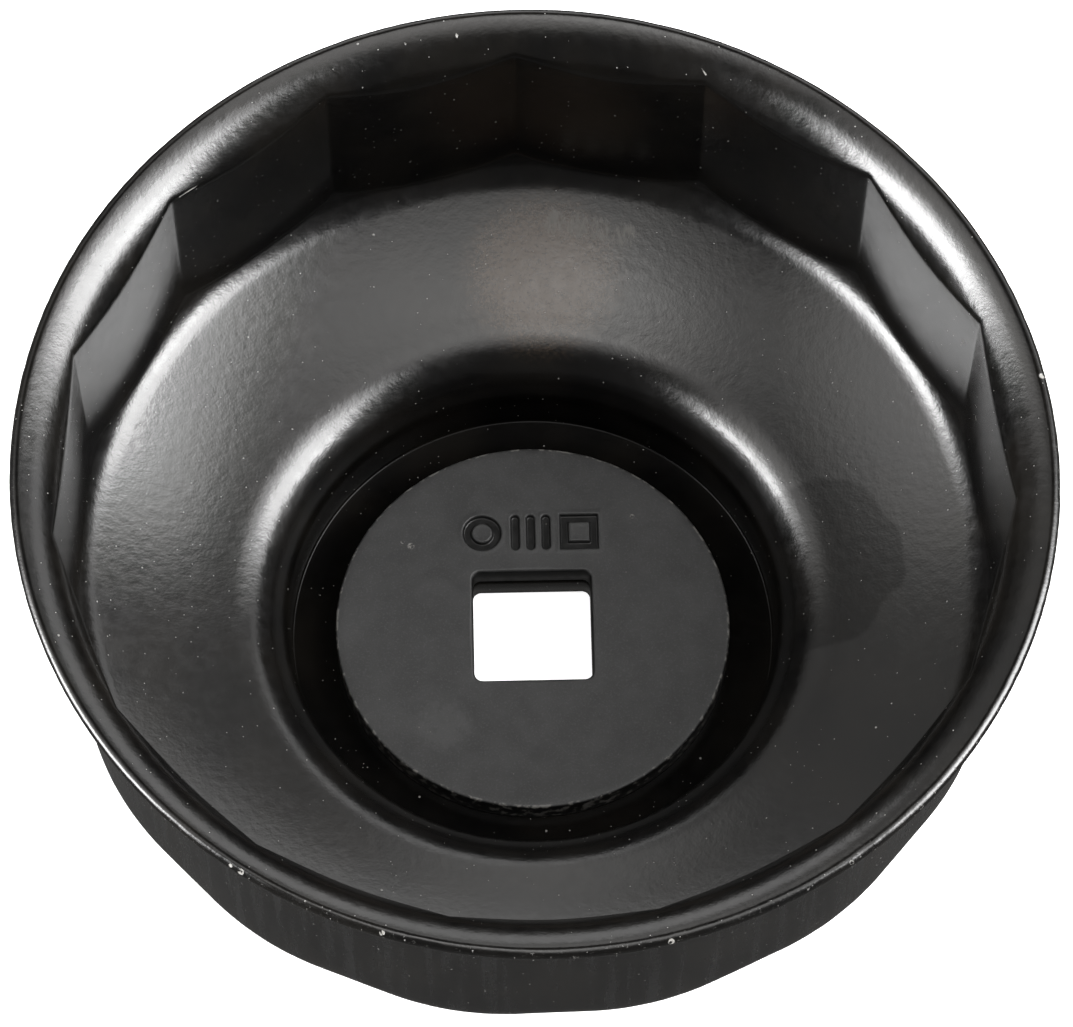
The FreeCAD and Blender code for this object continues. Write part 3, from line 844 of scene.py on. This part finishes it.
def finish_cup(cup):
    """Glossy black dip coat: orange peel, dust in the film, draw marks, scuffs, a stain, chips and a painted
    warm reflection on the far shoulder.
    """
    tree, shader = new_material(cup, "glossy_black_coat")
    place = place_of(tree)
    radius = add_distance_from_axis(tree, place)
    height = add_height(tree, place)
    streaks = wall_streaks(tree, place, radius, height)
    # painted reflection: a warm glow painted on the far shoulder
    painted_reflection = add_patch(tree, place, PAINTED_REFLECTION_CENTRE, *PAINTED_REFLECTION_SHAPE)
    scuffs = add_largest(tree, [add_patch(tree, place, scuff, *SCUFF_SHAPE) for scuff in SCUFFS])
    dust = add_largest(tree, [add_specks(tree, place, *specks) for specks in DUST_KINDS])
    bare = bare_places(tree, place, radius, height)
    coat = add_mix(tree, add_grain(tree, place, COAT_CLOUDS), COAT_DARK, COAT_LIGHT)
    add_layers(tree, shader, coat,
               ((streaks, STREAKS), (painted_reflection, PAINTED_REFLECTION), (scuffs, SCUFFED), (dust, DUST), (bare, WORN)))
    rough = add_grain(tree, place, COAT_SHEEN, *COAT_ROUGHNESS)
    for mask, rougher in ((dust, 0.3), (streaks, 0.12), (scuffs, 0.25), (bare, 0.25)):
        rough = add_math(tree, "MULTIPLY_ADD", mask, rougher, rough)
    tree.links.new(rough, shader.inputs["Roughness"])
    tree.links.new(coat_gloss(tree, place, radius, height), shader.inputs["Specular IOR Level"])
    shader.inputs["IOR"].default_value = COAT_IOR
    orange_peel = add_noise(tree, place, *ORANGE_PEEL)
    fine_peel = add_noise(tree, place, *FINE_PEEL)
    add_relief(tree, shader, ((orange_peel, 0.016), (fine_peel, 0.008), (dust, 0.012),
                              (streaks, 0.004), (bare, -0.03)))


def plate_wear_and_glint(tree, place, radius, nicks):
    """Where the plate is bright: nicks, bare burrs round its edge that also carry a painted glint along it,
    and dust, each in its own strength.
    """
    on_edge = add_fade(tree, radius, BURR_BAND, 0.0, 1.0)
    # bare burrs round the plate's edge, partly a painted glint along it
    burrs_and_painted_glint = add_math(tree, "MULTIPLY", on_edge, add_grain(tree, place, BURR_BREAKS))
    dust = add_specks(tree, place, *PLATE_DUST)
    wear = [nicks]
    for mask, strength in ((burrs_and_painted_glint, 0.8), (dust, 0.5)):
        wear.append(add_math(tree, "MULTIPLY", mask, strength))
    return add_largest(tree, wear)


def finish_plate(plate):
    """Flat black plate: sandy and matt on its face, with painted shade in the stamped strokes and on its
    side.
    """
    tree, shader = new_material(plate, "matt_black_plate")
    place = place_of(tree)
    radius = add_distance_from_axis(tree, place)
    height = add_height(tree, place)
    blotches = add_patch(tree, place, BLOTCH_CENTRE, *BLOTCH_SHAPE)
    # painted shade in the stamped strokes and down the plate's side
    sunk = add_math(tree, "MULTIPLY", add_fade(tree, height, SUNK_BAND), STROKE_SHADE)
    painted_shade = add_math(tree, "MAXIMUM", sunk, add_fade(tree, height, SIDE_BAND))
    nicks = add_largest(tree, [add_spot(tree, place, *nick) for nick in PLATE_NICKS])
    nicks = add_math(tree, "MULTIPLY", nicks, add_grain(tree, place, NICK_EDGES))
    black = add_mix(tree, add_grain(tree, place, PLATE_MOTTLE), PLATE_DARK, PLATE_LIGHT)
    add_layers(tree, shader, black,
               ((add_grain(tree, place, PLATE_GRAINS), SAND), (blotches, BLOTCH), (painted_shade, PAINTED_SHADE),
                (plate_wear_and_glint(tree, place, radius, nicks), PLATE_WEAR_AND_GLINT)))
    rough = add_grain(tree, place, PLATE_SHEEN, *PLATE_ROUGHNESS)
    rough = add_math(tree, "MULTIPLY_ADD", painted_shade, SHADED_ROUGHNESS, rough)
    tree.links.new(rough, shader.inputs["Roughness"])
    shader.inputs["IOR"].default_value = PLATE_IOR
    add_relief(tree, shader, ((add_noise(tree, place, *PLATE_TOOTH), 0.014), (nicks, -0.05)))


def finish_welds(welds):
    """Bare weld nuggets: grey metal with blue and straw heat tint."""
    tree, shader = new_material(welds, "weld_metal")
    place = place_of(tree)
    tint = add_mix(tree, add_grain(tree, place, WELD_CLOUDS), WELD_BLUE, WELD_STRAW)
    tree.links.new(tint, shader.inputs["Base Color"])
    rough = add_grain(tree, place, WELD_SHEEN, *WELD_ROUGHNESS)
    tree.links.new(rough, shader.inputs["Roughness"])
    shader.inputs["Metallic"].default_value = 1.0
    add_relief(tree, shader, ((add_noise(tree, place, *WELD_RIPPLE), 0.02),))


add_camera()
make_world()
make_floor()
for softbox in SOFTBOXES:
    add_softbox(*softbox)
bpy.context.scene.view_settings.view_transform = "Standard"

cup = make_cup()
plate = make_plate()
for piece, slot, node in ((cup, "coated_cup", "cup_shell"), (plate, "coated_plate", "drive_plate")):
    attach(piece, "root")
    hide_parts(node)
finish_cup(cup)
finish_plate(plate)
finish_welds(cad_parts["projection_welds"])
